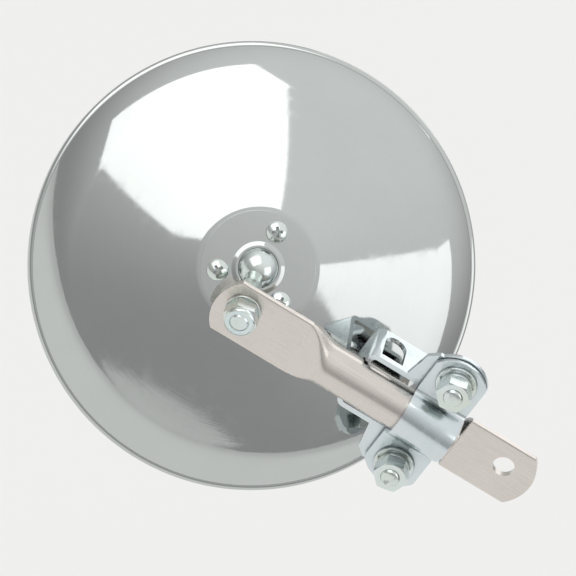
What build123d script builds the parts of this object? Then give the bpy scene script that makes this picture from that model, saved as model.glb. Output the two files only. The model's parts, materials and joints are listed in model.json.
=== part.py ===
from build123d import *
from math import cos, radians, sin, sqrt
import os

# Round convex mirror on a tube arm, with a two-bolt clamp for a vertical post.
# Millimetres. The origin is the centre of the post seat. +Z runs up the post, +X runs along the
# arm towards its free end, and the nuts face -Y. The mirror glass looks towards +Y.

# ---------------------------------------------------------------- driving dimensions
head_r = 95.25              # outside of the rim bezel, a 7 1/2 in mirror
head_tilt = 34.0            # degrees the head leans back on its ball at rest
head_lean = 6.0             # degrees that lean is turned, from up the post towards the arm's end
glass_curve_r = 500.0       # convex radius of the glass
tube_r = 9.525              # 3/4 in arm tube
tube_wall = 1.5
hole_spacing = 128.0        # between the two holes of the arm
hole_offset = 2.5           # both holes sit this far above the arm's centre line
post_seat_r = 5.05          # half-round seat for a 10 mm post
bolt_x = 26.5               # clamp bolts, measured from the post
bolt_half_spacing = 25.0
stud_x = -64.0              # ball stud, measured from the post
ball_reach = 31.5           # arm centre plane to ball centre
ball_r = 9.525              # 3/4 in ball
sheet = 2.3                 # clamp plate thickness
slip = 0.05                 # radial clearance of turning fits

# ---------------------------------------------------------------- M8 and M5 hardware
bolt_r = 4.0
bolt_hole_r = 4.5
nut_flats = 13.0
nut_height = 6.8
bolt_head_height = 5.3
washer_r = 8.7
washer_thickness = 1.6
lock_washer_r = 6.9
lock_washer_thickness = 2.0
screw_r = 2.5
screw_hole_r = 2.75
screw_nut_flats = 8.0
screw_nut_height = 4.0
screw_washer_r = 4.4
screw_washer_thickness = 1.2
thread_play = 0.05          # between a nut and its bolt

# ---------------------------------------------------------------- datum planes
arm_y = -(tube_r + 0.1 + post_seat_r)
ball_centre = (stud_x, arm_y + ball_reach, hole_offset)
tilt_axis = Vector(1, 0, 0).rotate(Axis.Y, -head_lean)
head_back = Vector(0, -1, 0).rotate(Axis.X, -head_tilt).rotate(Axis.Y, -head_lean)
head_axis = Axis(ball_centre, head_back)
head_plane = Plane(origin=ball_centre, x_dir=tilt_axis, z_dir=head_back)
head_section = Plane(origin=ball_centre, x_dir=tilt_axis, z_dir=tilt_axis.cross(head_back))
stud_axis = Axis(ball_centre, (0, -1, 0))
stud_section = Plane(origin=ball_centre, x_dir=(1, 0, 0), z_dir=(0, 0, -1))
arm_face = Plane(origin=(0, arm_y, 0), x_dir=(1, 0, 0), z_dir=(0, -1, 0))


def arm_station(x):
    """Cross-section of the arm at x: local x runs up the post, local y towards the nuts."""
    return Plane(origin=(x, arm_y, 0), x_dir=(0, 0, 1), z_dir=(1, 0, 0))


def on_stud(height):
    """Plane square to the stud, at a height above the ball centre."""
    return Plane(origin=(stud_x, ball_centre[1] - height, hole_offset), x_dir=(1, 0, 0), z_dir=(0, -1, 0))


# ================================================================ hardware blanks
# Each blank stands on the XY plane and is placed by the pieces that use it.
def hex_blank(across_flats, height, bore_r):
    """A hexagon nut or bolt head with chamfered corners, in the part being built."""
    corner_r = across_flats / sqrt(3)
    chamfer_rise = 0.35 * (corner_r - across_flats / 2)
    with BuildSketch() as flats:
        RegularPolygon(across_flats / 2, 6, major_radius=False)
    extrude(flats.sketch, amount=height)
    with BuildSketch(Plane.XZ) as turned:
        Polygon(
            (0, 0),
            (across_flats / 2, 0),
            (corner_r, chamfer_rise),
            (corner_r, height - chamfer_rise),
            (across_flats / 2, height),
            (0, height),
            align=None,
        )
    revolve(turned.sketch, axis=Axis.Z, mode=Mode.INTERSECT)
    if bore_r:
        with BuildSketch() as bore:
            Circle(bore_r)
        extrude(bore.sketch, amount=height, mode=Mode.SUBTRACT)


with BuildPart() as m8_nut:
    hex_blank(nut_flats, nut_height, bolt_r + thread_play)

with BuildPart() as m5_nut:
    hex_blank(screw_nut_flats, screw_nut_height, screw_r + thread_play)

with BuildPart() as m8_washer:
    with BuildSketch():
        Circle(washer_r)
        Circle(bolt_hole_r, mode=Mode.SUBTRACT)
    extrude(amount=washer_thickness)
    chamfer(m8_washer.edges().group_by(Axis.Z)[-1].sort_by(SortBy.RADIUS)[-1], length=0.3)

washer_split = 1.4
with BuildPart() as m8_lock_washer:
    with BuildSketch():
        Circle(lock_washer_r)
        Circle(bolt_r + 0.3, mode=Mode.SUBTRACT)
        with Locations((lock_washer_r, 0)):
            Rectangle(lock_washer_r, washer_split, mode=Mode.SUBTRACT)
    extrude(amount=lock_washer_thickness)

with BuildPart() as m5_lock_washer:
    with BuildSketch():
        Circle(screw_washer_r)
        Circle(screw_r + 0.2, mode=Mode.SUBTRACT)
        with Locations((screw_washer_r, 0)):
            Rectangle(screw_washer_r, 1.0, mode=Mode.SUBTRACT)
    extrude(amount=screw_washer_thickness)

# ================================================================ clamp
saddle_half_width = 12.0
saddle_ear_tip = 35.6                   # from the arm's centre line to the end of an ear
yoke_half_width = 12.4
yoke_ear_tip = 36.2
ear_arc_r = 14.3
saddle_bore_r = tube_r + 0.075
saddle_ear_top = 1.0                    # heights are measured from the tube axis, towards the nuts
saddle_ear_base = saddle_ear_top - sheet
crown_fillet = 3.0


def ear_plan(half_width, tip):
    """Plan of a strap with two ears: straight sides and shallow-arc ends."""
    corner = tip - ear_arc_r + sqrt(ear_arc_r**2 - half_width**2)
    with BuildLine() as rim:
        Line((half_width, -corner), (half_width, corner))
        ThreePointArc((half_width, corner), (0, tip), (-half_width, corner))
        Line((-half_width, corner), (-half_width, -corner))
        ThreePointArc((-half_width, -corner), (0, -tip), (half_width, -corner))
    make_face(rim.edges())


with BuildPart() as clamp_saddle:
    with BuildSketch(arm_station(bolt_x - saddle_half_width)) as saddle_section:
        with Locations((0, (saddle_ear_top + saddle_ear_base) / 2)):
            Rectangle(2 * saddle_ear_tip, sheet)
        Circle(saddle_bore_r + sheet)
        with Locations((0, saddle_ear_base)):
            Rectangle(2 * saddle_ear_tip, 2 * tube_r, align=(Align.CENTER, Align.MAX), mode=Mode.SUBTRACT)
        Circle(saddle_bore_r, mode=Mode.SUBTRACT)
        Rectangle(2 * saddle_bore_r, -2 * saddle_ear_base, mode=Mode.SUBTRACT)
        fillet(
            saddle_section.vertices()
            .filter_by(lambda corner: abs(corner.Y - saddle_ear_top) < 0.01)
            .filter_by(lambda corner: abs(corner.X) < bolt_half_spacing),
            crown_fillet,
        )
    extrude(amount=2 * saddle_half_width)
    with BuildSketch(arm_face.offset(saddle_ear_base) * Pos(bolt_x, 0)):
        ear_plan(saddle_half_width, saddle_ear_tip)
    extrude(amount=2 * tube_r, mode=Mode.INTERSECT)
    with Locations(arm_face.offset(saddle_ear_top)):
        with Locations((bolt_x, bolt_half_spacing), (bolt_x, -bolt_half_spacing)):
            Hole(bolt_hole_r)

# The yoke is a bent frame of plate. Its long walls carry the post seats, its shallow right end
# cradles the tube, and its ears take the bolts. The nuts pinch the post between yoke and tube.
yoke_left = -9.5
yoke_right = bolt_x + yoke_half_width
yoke_width = 31.0
yoke_bend = 4.0
yoke_ear_top = saddle_ear_base - 0.3
yoke_ear_base = yoke_ear_top - sheet
seat_floor = 2.4                        # wall left under the post seat
yoke_floor = arm_y - post_seat_r - seat_floor
deep_end = 18.0                         # the walls are deep up to here, then step up
cradle_floor = -12.4
step_round = 3.0
yoke_mid = (yoke_left + yoke_right) / 2
yoke_length = yoke_right - yoke_left
shoulder_plan = ((7.5, 13.0), (10.3, 28.0), (14.5, 31.5), (30.0, 31.5), (30.0, 13.0))
tube_relief_r = tube_r + 0.9
cradle_r = tube_r + 0.1

with BuildPart() as clamp_yoke:
    with BuildSketch(arm_face.offset(yoke_floor)):
        with Locations((yoke_mid, 0)):
            RectangleRounded(yoke_length, yoke_width, yoke_bend)
    extrude(amount=yoke_ear_top - yoke_floor)
    with BuildSketch(arm_face.offset(yoke_ear_base) * Pos(bolt_x, 0)):
        ear_plan(yoke_half_width, yoke_ear_tip)
    extrude(amount=sheet)
    with BuildSketch(arm_face.offset(yoke_ear_base)):
        Polygon(*shoulder_plan, align=None)
        mirror(about=Plane.XZ)
    extrude(amount=sheet)
    with BuildSketch(arm_face.offset(yoke_floor)):
        with Locations((yoke_mid, 0)):
            RectangleRounded(yoke_length - 2 * sheet, yoke_width - 2 * sheet, yoke_bend - sheet)
    extrude(amount=yoke_ear_top - yoke_floor, mode=Mode.SUBTRACT)
    with BuildSketch(Plane.XY):
        with Locations((deep_end, arm_y - yoke_floor)):
            Rectangle(yoke_length, cradle_floor - yoke_floor, align=(Align.MIN, Align.MAX))
    extrude(amount=yoke_width, both=True, mode=Mode.SUBTRACT)
    fillet(
        clamp_yoke.edges().filter_by(Axis.Z).filter_by(lambda rim: abs(rim.center().X - deep_end) < 0.01),
        step_round,
    )
    with BuildSketch(Plane.XY):
        Circle(post_seat_r)
        Rectangle(2 * post_seat_r, 2 * post_seat_r, align=(Align.CENTER, Align.MAX))
    extrude(amount=yoke_width, both=True, mode=Mode.SUBTRACT)
    with BuildSketch(arm_station(yoke_left)):
        Circle(tube_relief_r)
    extrude(amount=yoke_length / 2, mode=Mode.SUBTRACT)
    with BuildSketch(arm_station(yoke_right)):
        Circle(cradle_r)
    extrude(amount=-yoke_length / 2, mode=Mode.SUBTRACT)
    with Locations(arm_face.offset(yoke_ear_top)):
        with Locations((bolt_x, bolt_half_spacing), (bolt_x, -bolt_half_spacing)):
            Hole(bolt_hole_r, depth=sheet)

bolt_end = 12.6                         # bolt tips above the tube axis
bolt_chamfer = 0.6

with BuildPart() as m8_bolt:
    hex_blank(nut_flats, bolt_head_height, 0)
    with BuildSketch(Plane.XY.offset(bolt_head_height)):
        Circle(bolt_r)
    extrude(amount=bolt_end - yoke_ear_base)
    chamfer(m8_bolt.edges().sort_by(Axis.Z)[-1], length=bolt_chamfer)

with BuildPart(arm_face.offset(yoke_ear_base - bolt_head_height)) as clamp_bolts:
    with Locations((bolt_x, bolt_half_spacing), (bolt_x, -bolt_half_spacing)):
        add(m8_bolt.part)

with BuildPart(arm_face.offset(saddle_ear_top)) as clamp_flat_washers:
    with Locations((bolt_x, bolt_half_spacing), (bolt_x, -bolt_half_spacing)):
        add(m8_washer.part)

with BuildPart(arm_face.offset(saddle_ear_top + washer_thickness)) as clamp_lock_washers:
    with Locations((bolt_x, bolt_half_spacing), (bolt_x, -bolt_half_spacing)):
        add(m8_lock_washer.part)

clamp_nut_base = saddle_ear_top + washer_thickness + lock_washer_thickness
with BuildPart(arm_face.offset(clamp_nut_base)) as clamp_nuts:
    with Locations((bolt_x, bolt_half_spacing), (bolt_x, -bolt_half_spacing)):
        add(m8_nut.part, rotation=(0, 0, 12))

# ================================================================ arm
flat_half_width = 13.7
flat_half_thickness = 1.5
stud_end_past_hole = 12.0
free_end_past_hole = 14.4
end_arc_r = 20.0
stud_flat_end = stud_x + 26.0
stud_round_start = stud_x + 42.0
free_hole_x = stud_x + hole_spacing
free_round_end = yoke_right + 0.5
free_flat_start = free_round_end + 2.5
stud_hole_r = 4.25
end_hole_r = 4.7
circle_split = 20.0                     # degrees of the tube that become each thin edge of the flat


def tube_outline(radius):
    """The tube as four arcs, matched one to one with the flat's four edges."""
    corner = (radius * cos(radians(circle_split)), radius * sin(radians(circle_split)))
    with BuildLine() as ring:
        ThreePointArc(corner, (0, radius), (-corner[0], corner[1]))
        ThreePointArc((-corner[0], corner[1]), (-radius, 0), (-corner[0], -corner[1]))
        ThreePointArc((-corner[0], -corner[1]), (0, -radius), (corner[0], -corner[1]))
        ThreePointArc((corner[0], -corner[1]), (radius, 0), corner)
    make_face(ring.edges())


def flat_outline(half_width, half_thickness):
    """The flattened tube: two flats joined by two round edges."""
    corner = (half_width - half_thickness, half_thickness)
    with BuildLine() as ring:
        Line(corner, (-corner[0], corner[1]))
        ThreePointArc((-corner[0], corner[1]), (-half_width, 0), (-corner[0], -corner[1]))
        Line((-corner[0], -corner[1]), (corner[0], -corner[1]))
        ThreePointArc((corner[0], -corner[1]), (half_width, 0), corner)
    make_face(ring.edges())


end_arc_rise = end_arc_r - sqrt(end_arc_r**2 - flat_half_width**2)

with BuildPart() as arm_tube:
    with BuildSketch(arm_station(stud_round_start)):
        tube_outline(tube_r)
    extrude(amount=free_round_end - stud_round_start)
    for flat_x, round_x, end_x in (
        (stud_flat_end, stud_round_start, stud_x - stud_end_past_hole),
        (free_flat_start, free_round_end, free_hole_x + free_end_past_hole),
    ):
        with BuildSketch(arm_station(flat_x)) as flat_end:
            flat_outline(flat_half_width, flat_half_thickness)
        with BuildSketch(arm_station(round_x)):
            tube_outline(tube_r)
        loft()
        outward = 1 if end_x > flat_x else -1
        extrude(flat_end.sketch, amount=outward * abs(end_x - flat_x))
        shoulder = end_x - outward * end_arc_rise
        with BuildSketch(arm_face.offset(-flat_half_width)):
            with BuildLine():
                Line((shoulder, -flat_half_width), (shoulder + 20 * outward, -flat_half_width))
                Line((shoulder + 20 * outward, -flat_half_width), (shoulder + 20 * outward, flat_half_width))
                Line((shoulder + 20 * outward, flat_half_width), (shoulder, flat_half_width))
                ThreePointArc((shoulder, flat_half_width), (end_x, 0), (shoulder, -flat_half_width))
            make_face()
        extrude(amount=2 * flat_half_width, mode=Mode.SUBTRACT)
    with BuildSketch(arm_station(stud_round_start)):
        Circle(tube_r - tube_wall)
    extrude(amount=free_round_end - stud_round_start, mode=Mode.SUBTRACT)
    with Locations(arm_face.offset(flat_half_thickness)):
        with Locations((stud_x, hole_offset)):
            Hole(stud_hole_r)
        with Locations((free_hole_x, hole_offset)):
            Hole(end_hole_r)

# ================================================================ ball stud
# Heights run from the ball centre towards the nut.
neck_r = 3.9
shank_r = 4.8
collar_r = 7.0
arm_underside = ball_reach - flat_half_thickness
arm_topside = ball_reach + flat_half_thickness
collar_base = arm_underside - 3.0
stud_washer_r = 7.6
lock_nut_base = arm_topside + washer_thickness
lock_nut_height = 8.4
lock_nut_hex = 6.4
insert_r = 6.0
insert_depth = 2.3
stud_tip = lock_nut_base + lock_nut_height + 0.3
neck_top = sqrt(ball_r**2 - neck_r**2)

with BuildPart() as ball_stud:
    with BuildSketch(stud_section):
        with BuildLine():
            ThreePointArc((0, -ball_r), (ball_r, 0), (neck_r, neck_top))
            Polyline(
                (neck_r, neck_top),
                (neck_r, 12.0),
                (shank_r, 16.0),
                (shank_r, collar_base - 3.0),
                (collar_r, collar_base),
                (collar_r, arm_underside),
                (bolt_r - thread_play, arm_underside),
                (bolt_r - thread_play, stud_tip - bolt_chamfer),
                (bolt_r - thread_play - bolt_chamfer, stud_tip),
                (0, stud_tip),
                (0, -ball_r),
            )
        make_face()
    revolve(axis=stud_axis)

with BuildPart() as stud_washer:
    with BuildSketch(on_stud(arm_topside)):
        Circle(stud_washer_r)
        Circle(bolt_r + 0.2, mode=Mode.SUBTRACT)
    extrude(amount=washer_thickness)

with BuildPart() as lock_nut_blank:
    hex_blank(nut_flats, lock_nut_hex, 0)
    with BuildSketch(Plane.XZ):
        Polygon(
            (0, lock_nut_hex - 0.4),
            (nut_flats / 2, lock_nut_hex - 0.4),
            (nut_flats / 2, lock_nut_height - 0.5),
            (nut_flats / 2 - 0.5, lock_nut_height),
            (0, lock_nut_height),
            align=None,
        )
    revolve(axis=Axis.Z)
    with BuildSketch():
        Circle(bolt_r)
    extrude(amount=lock_nut_height, mode=Mode.SUBTRACT)
    with BuildSketch(Plane.XY.offset(lock_nut_height - insert_depth)):
        Circle(insert_r)
    extrude(amount=insert_depth, mode=Mode.SUBTRACT)

with BuildPart(on_stud(lock_nut_base)) as stud_nut:
    add(lock_nut_blank.part, rotation=(0, 0, 8))

with BuildPart() as stud_nut_insert:
    with BuildSketch(on_stud(lock_nut_base + lock_nut_height - insert_depth)):
        Circle(insert_r)
        Circle(bolt_r, mode=Mode.SUBTRACT)
    extrude(amount=insert_depth)

# ================================================================ ball seat, inside the head
# From here on, profiles are (radius, height) about the head axis. Heights run from the ball
# centre towards the back of the head, so the glass is at negative heights.
socket_bore_r = 11.2
socket_skin = 1.2
seat_base = -12.2
socket_floor = -17.0

with BuildPart() as ball_seat:
    with BuildSketch(head_section):
        Rectangle(socket_bore_r - 2 * slip, -seat_base, align=(Align.MIN, Align.MAX))
        Circle(ball_r + slip, mode=Mode.SUBTRACT)
    revolve(axis=head_axis)

spring_wire = 0.9
with BuildPart() as seat_spring:
    with BuildSketch(head_section):
        Polygon(
            (socket_bore_r - 0.4, socket_floor),
            (socket_bore_r - 0.4, socket_floor + spring_wire),
            (4.0 + spring_wire, seat_base),
            (4.0, seat_base),
            (4.0, seat_base - spring_wire),
            (socket_bore_r - 0.4 - spring_wire, socket_floor),
            align=None,
        )
    revolve(axis=head_axis)

# ================================================================ mirror head
shell_sheet = 0.8
plate_base = 2.8
plate_sheet = 1.2
plate_top = plate_base + plate_sheet
plate_r = 24.3
mouth_base_r = 9.2
mouth_r = 8.45                          # the plate's mouth closes in over the ball
lip_r = 9.5
lip_foot_r = 11.2
lip_rise = 0.6
shell_hole_r = 11.0
bowl_flat_r = 25.0
crease_r = 77.0
crease_height = -13.0
bowl_crown_r = 500.0
skirt_r = 38.0
skirt_end = (93.65, -24.0)
flange_r = 94.45
flange_base = skirt_end[1] - shell_sheet
screw_circle_r = 17.0
screw_start = 88.5                      # degrees from the arm's direction to the first screw

with BuildPart() as rear_shell:
    with BuildSketch(head_section):
        with BuildLine() as skin:
            Line((shell_hole_r, plate_base), (bowl_flat_r, plate_base))
            RadiusArc((bowl_flat_r, plate_base), (crease_r, crease_height), bowl_crown_r)
            RadiusArc((crease_r, crease_height), skirt_end, skirt_r)
            Line(skirt_end, (flange_r, skirt_end[1]))
            offset(amount=shell_sheet, side=Side.RIGHT)
        make_face()
    revolve(axis=head_axis)
    with Locations(head_plane.offset(plate_base)):
        with PolarLocations(screw_circle_r, 3, start_angle=screw_start):
            Hole(screw_hole_r, depth=2 * shell_sheet)

with BuildPart() as retainer_plate:
    with BuildSketch(head_section):
        Polygon(
            (mouth_base_r, plate_base),
            (plate_r, plate_base),
            (plate_r, plate_top),
            (lip_foot_r, plate_top),
            (lip_r, plate_top + lip_rise),
            (mouth_r, plate_top + lip_rise),
            align=None,
        )
    revolve(axis=head_axis)
    with Locations(head_plane.offset(plate_top)):
        with PolarLocations(screw_circle_r, 3, start_angle=screw_start):
            Hole(screw_hole_r, depth=2 * plate_sheet)

socket_flange_r = 22.8
socket_flange_top = plate_base - shell_sheet
socket_flange_sheet = 1.5
socket_flange_base = socket_flange_top - socket_flange_sheet

with BuildPart() as socket_cup:
    with BuildSketch(head_section):
        Polygon(
            (socket_bore_r, socket_flange_top),
            (socket_flange_r, socket_flange_top),
            (socket_flange_r, socket_flange_base),
            (socket_bore_r + socket_skin, socket_flange_base),
            (socket_bore_r + socket_skin, socket_floor - socket_skin),
            (0, socket_floor - socket_skin),
            (0, socket_floor),
            (socket_bore_r, socket_floor),
            align=None,
        )
    revolve(axis=head_axis)
    with Locations(head_plane.offset(socket_flange_top)):
        with PolarLocations(screw_circle_r, 3, start_angle=screw_start):
            Hole(screw_hole_r, depth=2 * socket_flange_sheet)

pan_r = 4.6
pan_height = 3.1
pan_rise = 1.8
pan_dome_r = (pan_r**2 + pan_rise**2) / (2 * pan_rise)
screw_tip = socket_flange_base - screw_washer_thickness - screw_nut_height - 1.5
recess_length = 4.6
recess_width = 1.2
recess_depth = 2.0

with BuildPart() as pan_screw:
    with BuildSketch(Plane.XZ) as pan_section:
        with BuildLine():
            Line((0, 0), (pan_r, 0))
            Line((pan_r, 0), (pan_r, pan_height - pan_rise))
            RadiusArc((pan_r, pan_height - pan_rise), (0, pan_height), -pan_dome_r)
            Line((0, pan_height), (0, 0))
        make_face()
        fillet(pan_section.vertices().sort_by_distance((pan_r, pan_height - pan_rise))[0], 0.8)
    revolve(axis=Axis.Z)
    with BuildSketch(Plane.XY.offset(screw_tip - plate_top)):
        Circle(screw_r)
    extrude(amount=plate_top - screw_tip)
    with BuildSketch(Plane.XY.offset(pan_height - recess_depth)):
        Rectangle(recess_length, recess_width)
        Rectangle(recess_width, recess_length)
    extrude(amount=recess_depth, mode=Mode.SUBTRACT)

with BuildPart(head_plane.offset(plate_top)) as plate_screws:
    with PolarLocations(screw_circle_r, 3, start_angle=screw_start):
        add(pan_screw.part, rotation=(0, 0, 30))

with BuildPart(head_plane.offset(socket_flange_base - screw_washer_thickness)) as screw_lock_washers:
    with PolarLocations(screw_circle_r, 3, start_angle=screw_start):
        add(m5_lock_washer.part)

screw_nut_base = socket_flange_base - screw_washer_thickness - screw_nut_height
with BuildPart(head_plane.offset(screw_nut_base)) as screw_nuts:
    with PolarLocations(screw_circle_r, 3, start_angle=screw_start):
        add(m5_nut.part, rotation=(0, 0, 30))

# The glass is a spherical dish that bulges away from the shell.
glass_r = 91.7
glass_thickness = 3.0
glass_edge_back = -26.0
glass_centre_height = glass_edge_back + sqrt((glass_curve_r - glass_thickness) ** 2 - glass_r**2)
glass_edge_front = glass_centre_height - sqrt(glass_curve_r**2 - glass_r**2)


def glass_height(radius, curve_r):
    """Height of the spherical surface of that curve radius, at a radius from the head axis."""
    return glass_centre_height - sqrt(curve_r**2 - radius**2)


with BuildPart() as mirror_glass:
    with BuildSketch(head_section):
        with BuildLine():
            back_centre = glass_centre_height - glass_curve_r + glass_thickness
            front_centre = glass_centre_height - glass_curve_r
            RadiusArc((0, back_centre), (glass_r, glass_edge_back), -(glass_curve_r - glass_thickness))
            Line((glass_r, glass_edge_back), (glass_r, glass_edge_front))
            RadiusArc((glass_r, glass_edge_front), (0, front_centre), glass_curve_r)
            Line((0, front_centre), (0, back_centre))
        make_face()
    revolve(axis=head_axis)

gasket_lip_r = 88.4
gasket_base = -31.1
bezel_sheet = 0.7
glass_play = 0.1

with BuildPart() as glass_gasket:
    with BuildSketch(head_section):
        Polygon(
            (gasket_lip_r, flange_base - 0.1),
            (flange_r, flange_base - 0.1),
            (flange_r, gasket_base),
            (gasket_lip_r, gasket_base),
            (gasket_lip_r, glass_height(gasket_lip_r, glass_curve_r) - glass_play),
            (glass_r + glass_play, glass_edge_front - glass_play),
            (glass_r + glass_play, glass_edge_back + glass_play),
            (gasket_lip_r, glass_height(gasket_lip_r, glass_curve_r - glass_thickness) + glass_play),
            align=None,
        )
    revolve(axis=head_axis)

bezel_lip_r = 89.0
bezel_back_lip_r = 93.3
bezel_top = -22.5
bezel_base = gasket_base - 0.1 - bezel_sheet
bezel_round = 1.2

with BuildPart() as rim_bezel:
    with BuildSketch(head_section) as bezel_section:
        Polygon(
            (bezel_back_lip_r, bezel_top),
            (head_r, bezel_top),
            (head_r, bezel_base),
            (bezel_lip_r, bezel_base),
            (bezel_lip_r, bezel_base + bezel_sheet),
            (head_r - bezel_sheet, bezel_base + bezel_sheet),
            (head_r - bezel_sheet, bezel_top - bezel_sheet),
            (bezel_back_lip_r, bezel_top - bezel_sheet),
            align=None,
        )
    revolve(axis=head_axis)
    fillet(
        rim_bezel.edges().filter_by(GeomType.CIRCLE).filter_by(lambda rim: abs(rim.radius - head_r) < 0.01),
        bezel_round,
    )

# ================================================================ labels and files
pieces = {
    "clamp_saddle": clamp_saddle,
    "clamp_yoke": clamp_yoke,
    "clamp_bolts": clamp_bolts,
    "clamp_flat_washers": clamp_flat_washers,
    "clamp_lock_washers": clamp_lock_washers,
    "clamp_nuts": clamp_nuts,
    "arm_tube": arm_tube,
    "ball_stud": ball_stud,
    "stud_washer": stud_washer,
    "stud_nut": stud_nut,
    "stud_nut_insert": stud_nut_insert,
    "ball_seat": ball_seat,
    "seat_spring": seat_spring,
    "rear_shell": rear_shell,
    "retainer_plate": retainer_plate,
    "socket_cup": socket_cup,
    "plate_screws": plate_screws,
    "screw_lock_washers": screw_lock_washers,
    "screw_nuts": screw_nuts,
    "mirror_glass": mirror_glass,
    "glass_gasket": glass_gasket,
    "rim_bezel": rim_bezel,
}

os.makedirs("parts", exist_ok=True)
for name, piece in pieces.items():
    piece.part.label = name
    export_step(piece.part, f"parts/{name}.step")
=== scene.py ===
import json
from math import asin, atan2, cos, pi, radians, sin, sqrt

import bpy
from mathutils import Matrix, Vector


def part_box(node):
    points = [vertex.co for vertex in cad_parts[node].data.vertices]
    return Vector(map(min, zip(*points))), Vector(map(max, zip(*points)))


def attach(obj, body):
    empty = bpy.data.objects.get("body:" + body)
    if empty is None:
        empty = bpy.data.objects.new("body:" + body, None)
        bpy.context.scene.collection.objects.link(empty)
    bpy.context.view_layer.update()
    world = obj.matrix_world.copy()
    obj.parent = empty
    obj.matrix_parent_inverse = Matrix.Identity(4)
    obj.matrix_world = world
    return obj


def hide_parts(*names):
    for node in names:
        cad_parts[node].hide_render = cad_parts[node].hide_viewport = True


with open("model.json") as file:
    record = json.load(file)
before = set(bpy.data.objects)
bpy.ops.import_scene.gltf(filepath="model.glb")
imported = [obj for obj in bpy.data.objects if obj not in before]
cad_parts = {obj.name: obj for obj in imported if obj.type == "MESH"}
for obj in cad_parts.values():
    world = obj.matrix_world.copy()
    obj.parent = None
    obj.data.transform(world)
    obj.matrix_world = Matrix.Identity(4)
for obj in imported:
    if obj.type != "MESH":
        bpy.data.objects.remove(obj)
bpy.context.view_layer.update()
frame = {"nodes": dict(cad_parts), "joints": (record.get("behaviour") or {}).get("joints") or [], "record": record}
MM = 0.001
nodes = frame["nodes"]
joints = {j["name"]: j for j in frame["joints"]}

# ---------------------------------------------------------------- places read off the frame
ball = Vector(joints["head_spin"]["pos_m"])
head_back = Vector(joints["head_spin"]["axis"]).normalized()
tilt_axis = Vector(joints["head_tilt"]["axis"]).normalized()
head_side = head_back.cross(tilt_axis)
arm_low, arm_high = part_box("arm_tube")
arm_y = (arm_low.y + arm_high.y) / 2
tube_r = (arm_high.y - arm_low.y) / 2
stud_x, stud_z = ball.x, ball.z
bolts_low, bolts_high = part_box("clamp_bolts")
bolt_x = (bolts_low.x + bolts_high.x) / 2


def head_point(radius, angle, height):
    """A point of the head: radius and angle about its axis, height from the ball centre."""
    around = tilt_axis * cos(angle) + head_side * sin(angle)
    return ball + around * radius + head_back * height


# ---------------------------------------------------------------- camera
CAMERA_AZIMUTH = radians(-10.46)
CAMERA_ELEVATION = radians(32.46)
CAMERA_ROLL = radians(36.77)
CAMERA_DISTANCE = 1.951
CAMERA_TARGET = Vector((-0.0488, 0.0146, 0.0032))
CAMERA_LENS = 291.3

camera_back = Vector((
    sin(CAMERA_AZIMUTH) * cos(CAMERA_ELEVATION),
    -cos(CAMERA_AZIMUTH) * cos(CAMERA_ELEVATION),
    sin(CAMERA_ELEVATION),
))
level_right = Vector((cos(CAMERA_AZIMUTH), sin(CAMERA_AZIMUTH), 0))
level_up = camera_back.cross(level_right)
image_right = level_right * cos(CAMERA_ROLL) + level_up * sin(CAMERA_ROLL)
image_up = camera_back.cross(image_right)

camera_data = bpy.data.cameras.new("camera")
camera = bpy.data.objects.new("camera", camera_data)
bpy.context.scene.collection.objects.link(camera)
camera.matrix_world = Matrix.Translation(CAMERA_TARGET + camera_back * CAMERA_DISTANCE) @ Matrix((
    (image_right.x, image_up.x, camera_back.x, 0),
    (image_right.y, image_up.y, camera_back.y, 0),
    (image_right.z, image_up.z, camera_back.z, 0),
    (0, 0, 0, 1),
))
camera_data.lens = CAMERA_LENS
camera_data.sensor_width = 36
camera_data.clip_end = 50
bpy.context.scene.camera = camera
bpy.context.scene.view_settings.view_transform = "Standard"


# ---------------------------------------------------------------- node helpers
class Graph:
    """A node tree with short calls for the nodes used here. Inputs are sockets or plain values."""

    def __init__(self, tree):
        self.tree = tree
        tree.nodes.clear()

    def node(self, kind, **settings):
        made = self.tree.nodes.new(kind)
        for key, value in settings.items():
            setattr(made, key, value)
        return made

    def join(self, socket, value):
        if isinstance(value, bpy.types.NodeSocket):
            self.tree.links.new(value, socket)
        elif isinstance(value, (tuple, list)) and len(value) == 3 and socket.type == "RGBA":
            socket.default_value = (*value, 1)
        else:
            socket.default_value = value

    def math(self, operation, a, b=0.0):
        made = self.node("ShaderNodeMath", operation=operation)
        self.join(made.inputs[0], a)
        self.join(made.inputs[1], b)
        return made.outputs[0]

    def vector(self, operation, a, b=(0, 0, 0)):
        made = self.node("ShaderNodeVectorMath", operation=operation)
        self.join(made.inputs[0], a)
        self.join(made.inputs[1], b)
        return made.outputs["Value"] if operation in ("DOT_PRODUCT", "LENGTH") else made.outputs["Vector"]

    def ramp(self, value, low, high, to_low=0.0, to_high=1.0):
        made = self.node("ShaderNodeMapRange", interpolation_type="SMOOTHSTEP")
        self.join(made.inputs["Value"], value)
        made.inputs["From Min"].default_value = low
        made.inputs["From Max"].default_value = high
        made.inputs["To Min"].default_value = to_low
        made.inputs["To Max"].default_value = to_high
        return made.outputs["Result"]

    def mix(self, amount, a, b):
        made = self.node("ShaderNodeMix", data_type="RGBA")
        self.join(made.inputs["Factor"], amount)
        self.join(made.inputs[6], a)
        self.join(made.inputs[7], b)
        return made.outputs[2]

    def noise(self, vector, scale, detail=3.0, roughness=0.5):
        made = self.node("ShaderNodeTexNoise")
        self.join(made.inputs["Vector"], vector)
        made.inputs["Scale"].default_value = scale
        made.inputs["Detail"].default_value = detail
        made.inputs["Roughness"].default_value = roughness
        return made.outputs["Fac"]

    def stretch(self, vector, scale):
        made = self.node("ShaderNodeVectorMath", operation="MULTIPLY")
        self.join(made.inputs[0], vector)
        made.inputs[1].default_value = scale
        return made.outputs[0]


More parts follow.
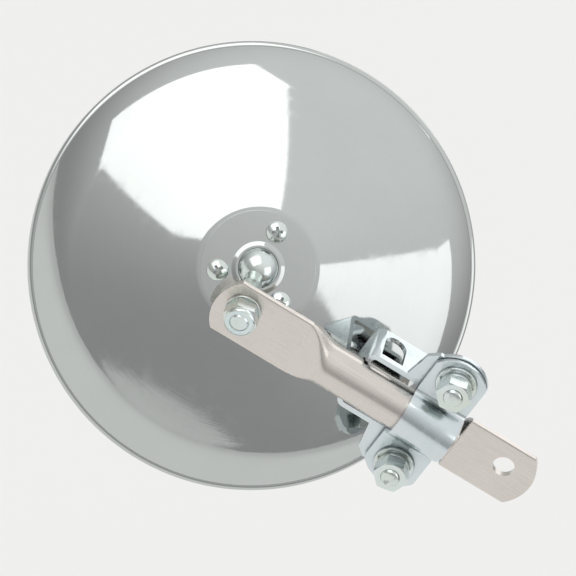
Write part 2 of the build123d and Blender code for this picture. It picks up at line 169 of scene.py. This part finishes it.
def head_rings(graph, position):
    """Coordinates that vary only with radius and height about the head axis, for spun marks."""
    offset = graph.vector("SUBTRACT", position, ball)
    height = graph.vector("DOT_PRODUCT", offset, head_back)
    reach = graph.vector("LENGTH", offset)
    radius = graph.math("SQRT", graph.math("SUBTRACT", graph.math("MULTIPLY", reach, reach),
                                           graph.math("MULTIPLY", height, height)))
    made = graph.node("ShaderNodeCombineXYZ")
    graph.join(made.inputs[0], radius)
    graph.join(made.inputs[1], height)
    return made.outputs[0]


def surface(name, color, roughness, metallic=1.0, grain=None, rings=False, marks=0.1, bump=0.02, tint=None,
            stain=0.25, spread=0.08, painted_corner_shade=0.0, **extra):
    """A worn finish that can also carry painted shade in its corners. grain is the stretch of its fine lines, and
    stain how far its tone drifts to tint.
    """
    material = bpy.data.materials.new(name)
    material.use_nodes = True
    g = Graph(material.node_tree)
    position = g.node("ShaderNodeTexCoord").outputs["Object"]
    if rings:
        lines = g.noise(head_rings(g, position), 2600.0, 2.0)
    else:
        lines = g.noise(g.stretch(position, grain or (1, 1, 1)), 1.0 if grain else 1500.0, 2.0)
    clouds = g.noise(position, 55.0, 4.0)
    smudges = g.ramp(g.noise(position, 170.0, 5.0, 0.6), 0.45, 0.7)
    specks = g.ramp(g.noise(position, 1900.0, 1.0), 0.74, 0.8)
    tone = g.mix(g.math("MULTIPLY", g.ramp(clouds, 0.35, 0.7), stain), color, tint or color)
    tone = g.mix(g.math("MULTIPLY", g.ramp(lines, 0.3, 0.7), marks), tone, tuple(0.72 * c for c in color))
    tone = g.mix(g.math("MULTIPLY", specks, 0.25), tone, tuple(0.4 * c for c in color))
    # Painted shade: ambient occlusion darkens the tone in corners and recesses, towards a tenth of the colour.
    if painted_corner_shade:
        corners = g.node("ShaderNodeAmbientOcclusion", samples=8)
        corners.inputs["Distance"].default_value = 0.012
        tone = g.mix(g.math("MULTIPLY", g.ramp(corners.outputs["AO"], 0.75, 0.2), painted_corner_shade), tone,
                     tuple(0.1 * c for c in color))
    rough = g.math("ADD", g.math("MULTIPLY", smudges, spread), roughness)
    rough = g.math("ADD", rough, g.math("MULTIPLY", specks, 0.2))
    height = g.math("ADD", lines, g.math("MULTIPLY", smudges, 0.3))
    dents = g.node("ShaderNodeBump")
    dents.inputs["Strength"].default_value = bump
    dents.inputs["Distance"].default_value = 0.0004
    g.join(dents.inputs["Height"], height)
    shader = g.node("ShaderNodeBsdfPrincipled")
    g.join(shader.inputs["Base Color"], tone)
    g.join(shader.inputs["Roughness"], rough)
    shader.inputs["Metallic"].default_value = metallic
    g.join(shader.inputs["Normal"], dents.outputs["Normal"])
    for key, value in extra.items():
        shader.inputs[key.replace("_", " ")].default_value = value
    output = g.node("ShaderNodeOutputMaterial")
    g.join(output.inputs["Surface"], shader.outputs[0])
    return material


finish = {
    "polished_stainless": surface("polished_stainless", (0.56, 0.585, 0.575), 0.05, rings=True, marks=0.06,
                                  bump=0.012, tint=(0.52, 0.54, 0.53), spread=0.05),
    "satin_steel": surface("satin_steel", (0.72, 0.68, 0.635), 0.24, grain=(60, 2600, 2600), marks=0.3,
                           bump=0.08, tint=(0.66, 0.62, 0.575), spread=0.07),
    # The zinc finishes carry painted shade in their corners and recesses.
    "zinc_plate": surface("zinc_plate", (0.70, 0.76, 0.78), 0.16, marks=0.12, bump=0.05,
                          tint=(0.60, 0.68, 0.70), stain=0.5, spread=0.12, painted_corner_shade=0.9),
    "zinc_fastener": surface("zinc_fastener", (0.74, 0.80, 0.80), 0.15, marks=0.15, bump=0.06,
                             tint=(0.66, 0.72, 0.62), stain=0.6, spread=0.12, painted_corner_shade=0.7),
    "spring_steel": surface("spring_steel", (0.30, 0.30, 0.31), 0.35, marks=0.2, tint=(0.2, 0.16, 0.12)),
    "pale_nylon": surface("pale_nylon", (0.90, 0.96, 0.92), 0.45, metallic=0.0, marks=0.1, bump=0.08,
                          tint=(0.62, 0.70, 0.60), Subsurface_Weight=0.2),
    "black_nylon": surface("black_nylon", (0.03, 0.03, 0.03), 0.5, metallic=0.0, tint=(0.06, 0.06, 0.05)),
    "gasket_rubber": surface("gasket_rubber", (0.02, 0.02, 0.02), 0.7, metallic=0.0, marks=0.3, bump=0.15,
                             tint=(0.05, 0.05, 0.05)),
    "mirror_glass": surface("mirror_glass", (0.88, 0.91, 0.90), 0.01, marks=0.0, bump=0.0,
                            tint=(0.84, 0.88, 0.87), spread=0.02, Coat_Weight=0.6, Coat_Roughness=0.02),
}


# ---------------------------------------------------------------- mesh helpers
def piece(name, points, faces, slot_name, body, *stands_for, sharp=30.0):
    """A new smooth-shaded mesh that rides a body and stands for CAD nodes."""
    mesh = bpy.data.meshes.new(name)
    mesh.from_pydata([tuple(p) for p in points], [], faces)
    mesh.validate()
    mesh.polygons.foreach_set("use_smooth", [True] * len(mesh.polygons))
    mesh.set_sharp_from_angle(angle=radians(sharp))
    mesh.materials.append(finish[slot_name])
    made = bpy.data.objects.new(name, mesh)
    bpy.context.scene.collection.objects.link(made)
    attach(made, body)
    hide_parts(*stands_for)
    return made


def soften(target, width, segments, angle):
    """Rounds a piece's sharp edges by a width in millimetres."""
    edge = target.modifiers.new("edge", "BEVEL")
    edge.width = width * MM
    edge.segments = segments
    edge.limit_method = "ANGLE"
    edge.angle_limit = radians(angle)
    return edge


def arc(start, end, radius, steps):
    """Points of the minor arc between two (radius, height) points; it bulges to the left of its way."""
    middle = Vector(((start[0] + end[0]) / 2, (start[1] + end[1]) / 2))
    way = Vector((end[0] - start[0], end[1] - start[1]))
    left = Vector((-way.y, way.x)).normalized()
    centre = middle - left * sqrt(radius**2 - (way.length / 2) ** 2)
    first = Vector(start) - centre
    turn = -2 * asin(way.length / 2 / radius)
    points = []
    for i in range(steps + 1):
        a = turn * i / steps
        points.append((centre.x + first.x * cos(a) - first.y * sin(a),
                       centre.y + first.x * sin(a) + first.y * cos(a)))
    return points


def rounded(corners, radius, steps=4):
    """A closed outline with each corner replaced by a small arc of up to that radius."""
    outline = []
    for i, corner in enumerate(corners):
        here = Vector(corner)
        back = Vector(corners[i - 1]) - here
        ahead = Vector(corners[(i + 1) % len(corners)]) - here
        reach = min(radius, back.length * 0.45, ahead.length * 0.45)
        a, b = here + back.normalized() * reach, here + ahead.normalized() * reach
        for k in range(steps + 1):
            t = k / steps
            outline.append(tuple(a * (1 - t) ** 2 + here * 2 * t * (1 - t) + b * t**2))
    return outline


def lathe(outline, place, steps):
    """Vertices and faces of a closed outline of (radius, height) turned about an axis."""
    points, faces = [], []
    count = len(outline)
    for i in range(steps):
        for radius, height in outline:
            points.append(place(max(radius, 0.0) * MM, 2 * pi * i / steps, height * MM))
    for i in range(steps):
        for j in range(count):
            a, b = i * count + j, i * count + (j + 1) % count
            c, d = ((i + 1) % steps) * count + (j + 1) % count, ((i + 1) % steps) * count + j
            if outline[j][0] <= 0 and outline[(j + 1) % count][0] <= 0:
                continue
            faces.append((a, b, c, d))
    return points, faces


# ---------------------------------------------------------------- mirror head
# Outlines are (radius, height) in millimetres, with heights from the ball centre towards the back.
SHELL_SHEET = 0.8
SHELL_HOLE_R, SHELL_FLAT_R, SHELL_FLAT_HEIGHT = 11.0, 25.0, 2.8
CREASE = (77.0, -13.0)
FLANGE = (93.65, -24.0)
FLANGE_R = 94.45
BOWL_CURVE, SKIRT_CURVE = 500.0, 38.0
shell_curve = arc((SHELL_FLAT_R, SHELL_FLAT_HEIGHT), CREASE, BOWL_CURVE, 40)
shell_curve += arc(CREASE, FLANGE, SKIRT_CURVE, 24)[1:]
shell_outer = [(r, SHELL_FLAT_HEIGHT) for r in (SHELL_HOLE_R, 14.0, 20.0)] + shell_curve
shell_outer += [(FLANGE_R, FLANGE[1])]
shell_inner = [(FLANGE_R, FLANGE[1] - SHELL_SHEET)]
shell_inner += [(r, height - SHELL_SHEET) for r, height in shell_curve[::-1]]
shell_inner += [(r, SHELL_FLAT_HEIGHT - SHELL_SHEET) for r in (20.0, SHELL_HOLE_R)]
points, faces = lathe(shell_outer + shell_inner, head_point, 256)
piece("rear_shell_spun", points, faces, "polished_stainless", "head", "rear_shell", sharp=40)

BEZEL_R, BEZEL_FRONT_LIP_R, BEZEL_BACK_LIP_R, BEZEL_FRONT = 95.25, 89.0, 93.2, -31.9
BEZEL_SHEET = 0.7
SHOULDER_HEIGHT, SHOULDER_RISE = -25.0, 1.6
bezel = [(BEZEL_BACK_LIP_R + (BEZEL_R - BEZEL_BACK_LIP_R) * sin(a), SHOULDER_HEIGHT + SHOULDER_RISE * cos(a))
         for a in (pi / 2 * i / 12 for i in range(13))]
bezel += [(BEZEL_R, BEZEL_FRONT + 1.3), (BEZEL_R - 0.35, BEZEL_FRONT + 0.4), (BEZEL_R - 1.15, BEZEL_FRONT),
          (BEZEL_FRONT_LIP_R, BEZEL_FRONT), (BEZEL_FRONT_LIP_R, BEZEL_FRONT + BEZEL_SHEET),
          (BEZEL_R - BEZEL_SHEET, BEZEL_FRONT + BEZEL_SHEET),
          (BEZEL_R - BEZEL_SHEET, SHOULDER_HEIGHT + 0.1), (BEZEL_BACK_LIP_R, SHOULDER_HEIGHT + BEZEL_SHEET)]
points, faces = lathe(bezel, head_point, 256)
piece("rim_bezel_rolled", points, faces, "polished_stainless", "head", "rim_bezel", sharp=60)

PLATE_R, PLATE_TOP, PLATE_BASE = 24.3, 4.0, SHELL_FLAT_HEIGHT + 0.02
LIP_FOOT_R, LIP_R, LIP_MOUTH_R, LIP_TOP = 11.2, 9.5, 8.45, 4.6
plate = rounded([(9.2, PLATE_BASE), (PLATE_R, PLATE_BASE), (PLATE_R, PLATE_TOP), (LIP_FOOT_R, PLATE_TOP),
                 (LIP_R, LIP_TOP), (LIP_MOUTH_R, LIP_TOP)], 0.18)
points, faces = lathe(plate, head_point, 160)
piece("retainer_plate_pressed", points, faces, "polished_stainless", "head", "retainer_plate", sharp=50)

GLASS_CURVE, GLASS_R, GLASS_THICKNESS, GLASS_EDGE = 500.0, 91.7, 3.0, -26.0
GLASS_STEPS = 24
back_curve = GLASS_CURVE - GLASS_THICKNESS
glass_centre = GLASS_EDGE + sqrt(back_curve**2 - GLASS_R**2)
glass_radii = [GLASS_R * i / GLASS_STEPS for i in range(GLASS_STEPS + 1)]
glass = [(r, glass_centre - sqrt(back_curve**2 - r**2)) for r in glass_radii]
glass += [(r, glass_centre - sqrt(GLASS_CURVE**2 - r**2)) for r in glass_radii[::-1]]
points, faces = lathe(glass, head_point, 192)
piece("mirror_glass_dish", points, faces, "mirror_glass", "head", "mirror_glass", sharp=40)


# ---------------------------------------------------------------- ball stud
def stud_point(radius, angle, height):
    """A point of the stud: heights run from the ball centre towards its nut."""
    return ball + Vector((radius * cos(angle), -height, radius * sin(angle)))


BALL_R, NECK_R, SHANK_R, COLLAR_R, THREAD_R = 9.525, 3.9, 4.8, 7.0, 3.95
NECK_TOP, SHANK_BASE = 11.7, 16.3
ARM_HALF_THICKNESS = 1.5
stud_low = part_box("ball_stud")[0]
underside = (ball.y - arm_y) / MM - ARM_HALF_THICKNESS
stud_tip = (ball.y - stud_low.y) / MM
ball_end = sqrt(BALL_R**2 - NECK_R**2)
start_angle = atan2(ball_end, NECK_R)
ball_arc = [(BALL_R * cos(a), BALL_R * sin(a))
            for a in (start_angle + (-pi / 2 - start_angle) * i / 40 for i in range(41))]
stem = [(0, stud_tip), (THREAD_R - 0.7, stud_tip), (THREAD_R, stud_tip - 0.6), (THREAD_R, underside),
        (COLLAR_R - 0.3, underside), (COLLAR_R, underside - 0.3), (COLLAR_R, underside - 2.8),
        (COLLAR_R - 0.5, underside - 3.3), (SHANK_R + 0.3, underside - 5.7), (SHANK_R, underside - 6.2),
        (SHANK_R, SHANK_BASE), (SHANK_R - 0.2, SHANK_BASE - 0.7), (NECK_R + 0.2, NECK_TOP + 0.7),
        (NECK_R, NECK_TOP), (NECK_R, ball_end + 0.4)]
points, faces = lathe(stem + ball_arc, stud_point, 96)
piece("ball_stud_turned", points, faces, "zinc_fastener", "stud", "ball_stud", sharp=35)

# ---------------------------------------------------------------- arm: a round tube with pressed ends
FLAT_HALF = 13.7 * MM
FLAT_THIN = ARM_HALF_THICKNESS * MM
END_ARC_R = 20.0 * MM
stud_end_x, free_end_x = arm_low.x, arm_high.x
stud_flat_x, stud_round_x = stud_x + 26 * MM, stud_x + 42 * MM
free_round_x = bolt_x + 12.9 * MM
free_flat_x = free_round_x + 2.5 * MM
free_hole_x = free_end_x - 14.4 * MM
FREE_HOLE_R, STUD_HOLE_R = 4.7 * MM, 4.25 * MM
AROUND = 72


def ease(t):
    """A smooth step from 0 to 1."""
    t = min(max(t, 0.0), 1.0)
    return t * t * (3 - 2 * t)


def arm_ring(x, roundness):
    """One cross-section of the arm, a superellipse that goes from flat at 0 to round at 1."""
    half = FLAT_HALF + (tube_r - FLAT_HALF) * ease(roundness)
    crown = FLAT_THIN + (tube_r - FLAT_THIN) * ease(roundness)
    power = 2 + 8 * (1 - ease(roundness)) ** 1.5
    ring = []
    for i in range(AROUND):
        a = 2 * pi * i / AROUND
        z = half * cos(a)
        depth = crown * max(0.0, 1 - abs(z / half) ** power) ** (1 / power)
        ring.append(Vector((x, arm_y - (depth if sin(a) >= 0 else -depth), z)))
    return ring


def flat_rings(flat_x, end_x, steps=10):
    """Rings of a pressed end, from its straight start to the arc it is cut to."""
    outward = 1 if end_x > flat_x else -1
    rings = []
    for i in range(steps + 1):
        t = i / steps
        rings.append([Vector((p.x + outward * (sqrt(END_ARC_R**2 - p.z**2) - END_ARC_R) * t, p.y, p.z))
                      for p in arm_ring(flat_x + (end_x - flat_x) * t, 0)])
    return rings


def between(start, end, t):
    return start + (end - start) * t


stations = flat_rings(stud_flat_x, stud_end_x)[::-1]
stations += [arm_ring(between(stud_flat_x, stud_round_x, i / 24), i / 24) for i in range(1, 25)]
stations += [arm_ring(between(stud_round_x, free_round_x, i / 12), 1) for i in range(1, 13)]
stations += [arm_ring(between(free_round_x, free_flat_x, i / 16), 1 - i / 16) for i in range(1, 17)]
stations += flat_rings(free_flat_x, free_end_x)[1:]
points = [p for ring in stations for p in ring]
faces = []
for i in range(len(stations) - 1):
    for j in range(AROUND):
        k = (j + 1) % AROUND
        faces.append((i * AROUND + j, i * AROUND + k, (i + 1) * AROUND + k, (i + 1) * AROUND + j))
half_way = AROUND // 2
cap = [(1, 0, AROUND - 1), (half_way - 1, half_way + 1, half_way)]
cap += [(j, AROUND - j, AROUND - j - 1, j + 1) for j in range(1, half_way - 1)]
for start, order in ((0, 1), ((len(stations) - 1) * AROUND, -1)):
    faces += [tuple(start + corner for corner in face)[::order] for face in cap]
arm = piece("arm_tube_pressed", points, faces, "satin_steel", "arm", "arm_tube", sharp=38)


def drill(target, x, z, radius):
    """Cuts a round hole along Y through a piece."""
    bpy.ops.mesh.primitive_cylinder_add(vertices=64, radius=radius, depth=0.03, location=(x, arm_y, z),
                                        rotation=(pi / 2, 0, 0))
    cutter = bpy.context.object
    cut = target.modifiers.new("hole", "BOOLEAN")
    cut.object = cutter
    cut.solver = "EXACT"
    bpy.context.view_layer.update()
    made = bpy.data.meshes.new_from_object(target.evaluated_get(bpy.context.evaluated_depsgraph_get()))
    target.modifiers.clear()
    made.polygons.foreach_set("use_smooth", [True] * len(made.polygons))
    made.set_sharp_from_angle(angle=radians(38))
    target.data = made
    bpy.data.objects.remove(cutter)


drill(arm, free_hole_x, stud_z, FREE_HOLE_R)
drill(arm, stud_x, stud_z, STUD_HOLE_R)
soften(arm, 0.25, 2, 50)

# ---------------------------------------------------------------- clamp bolts with cut threads
BOLT_R, THREAD_PITCH, THREAD_DEPTH = 4.0 * MM, 1.25 * MM, 0.62 * MM
BOLT_TIP_CHAMFER = 0.6 * MM
HEAD_HEIGHT, HEAD_FLATS = 5.3 * MM, 13.0 * MM
ROWS_PER_TURN, BOLT_SIDES = 8, 40
bolt_tip_y, bolt_head_y = bolts_low.y, bolts_high.y
length = bolt_head_y - HEAD_HEIGHT - bolt_tip_y
rows = int(length / THREAD_PITCH * ROWS_PER_TURN)
hex_reach = HEAD_FLATS / 2 / cos(pi / 6)
bolt_z = bolts_high.z - HEAD_FLATS / 2
points, faces = [], []
for z in (bolt_z, -bolt_z):
    start = len(points)
    for i in range(rows + 1):
        depth = length * i / rows
        for j in range(BOLT_SIDES):
            a = 2 * pi * j / BOLT_SIDES
            groove = abs(((depth / THREAD_PITCH + j / BOLT_SIDES) % 1) * 2 - 1)
            radius = min(BOLT_R - THREAD_DEPTH * groove, BOLT_R - BOLT_TIP_CHAMFER + depth)
            points.append(Vector((bolt_x + radius * cos(a), bolt_tip_y + depth, z + radius * sin(a))))
    for i in range(rows):
        for j in range(BOLT_SIDES):
            k = (j + 1) % BOLT_SIDES
            row, above_row = start + i * BOLT_SIDES, start + (i + 1) * BOLT_SIDES
            faces.append((row + j, above_row + j, above_row + k, row + k))
    faces.append(tuple(start + j for j in range(BOLT_SIDES)))
    start = len(points)
    for y in (bolt_head_y - HEAD_HEIGHT, bolt_head_y):
        for j in range(6):
            a = pi * j / 3
            points.append(Vector((bolt_x + hex_reach * cos(a), y, z + hex_reach * sin(a))))
    for j in range(6):
        k = (j + 1) % 6
        faces.append((start + j, start + 6 + j, start + 6 + k, start + k))
    faces.append(tuple(start + j for j in range(6)))
    faces.append(tuple(start + 11 - j for j in range(6)))
bolts = piece("clamp_bolts_threaded", points, faces, "zinc_fastener", "clamp", "clamp_bolts", sharp=50)
soften(bolts, 0.4, 2, 58)

# ---------------------------------------------------------------- finish of the carried-over nodes
soft_edge = {
    "clamp_saddle": 0.45, "clamp_yoke": 0.45, "clamp_flat_washers": 0.25,
    "clamp_lock_washers": 0.25, "clamp_nuts": 0.35, "stud_washer": 0.25, "stud_nut": 0.35,
    "stud_nut_insert": 0.2, "plate_screws": 0.15, "screw_nuts": 0.2, "screw_lock_washers": 0.15,
    "socket_cup": 0.3, "ball_seat": 0.2, "glass_gasket": 0.2,
}
slots = {part["node"]: part["material_slot"] for part in frame["record"]["subparts"]}
for name, node in nodes.items():
    node.data.materials.clear()
    node.data.materials.append(finish[slots[name]])
    if name in soft_edge:
        weld = node.modifiers.new("weld", "WELD")
        weld.merge_threshold = 2e-6
        flat = node.modifiers.new("flat", "DECIMATE")
        flat.decimate_type = "DISSOLVE"
        flat.angle_limit = radians(0.5)
        soften(node, soft_edge[name], 3, 35).harden_normals = True

# ---------------------------------------------------------------- plain pale floor
FLOOR_HEIGHT = -0.55
FLOOR_SIZE = 14
bpy.ops.mesh.primitive_plane_add(size=FLOOR_SIZE, location=(0, 0, FLOOR_HEIGHT))
floor = bpy.context.object
floor.name = "floor"
paint = bpy.data.materials.new("floor")
paint.use_nodes = True
g = Graph(paint.node_tree)
matte = g.node("ShaderNodeBsdfDiffuse")
matte.inputs["Color"].default_value = (0.88, 0.88, 0.87, 1)
g.join(g.node("ShaderNodeOutputMaterial").inputs["Surface"], matte.outputs[0])
floor.data.materials.append(paint)

# ---------------------------------------------------------------- plain soft studio light
WALL_LIGHT, CEILING_LIGHT = 0.40, 0.95
world = bpy.data.worlds.new("studio")
bpy.context.scene.world = world
world.use_nodes = True
g = Graph(world.node_tree)
way = g.node("ShaderNodeTexCoord").outputs["Generated"]
light = g.node("ShaderNodeBackground")
g.join(light.inputs["Color"], (1, 1, 1))
height = g.vector("DOT_PRODUCT", way, (0, 0, 1))
g.join(light.inputs["Strength"], g.ramp(height, 0, 1, WALL_LIGHT, CEILING_LIGHT))
g.join(g.node("ShaderNodeOutputWorld").inputs["Surface"], light.outputs[0])


def softbox(name, direction, distance, size, power):
    """A square soft light that faces the object and lights everything."""
    direction = Vector(direction).normalized()
    lamp = bpy.data.lights.new(name, "AREA")
    lamp.size = size
    lamp.energy = power
    made = bpy.data.objects.new(name, lamp)
    bpy.context.scene.collection.objects.link(made)
    made.location = direction * distance
    made.rotation_euler = direction.to_track_quat("Z", "Y").to_euler()
    made.visible_camera = False


softbox("key", (-0.55, -0.35, 0.76), 3.0, 2.5, 21)
softbox("fill", (0.75, -0.45, 0.50), 3.0, 2.0, 10)
softbox("back", (0.20, 0.90, 0.45), 3.0, 2.0, 9)
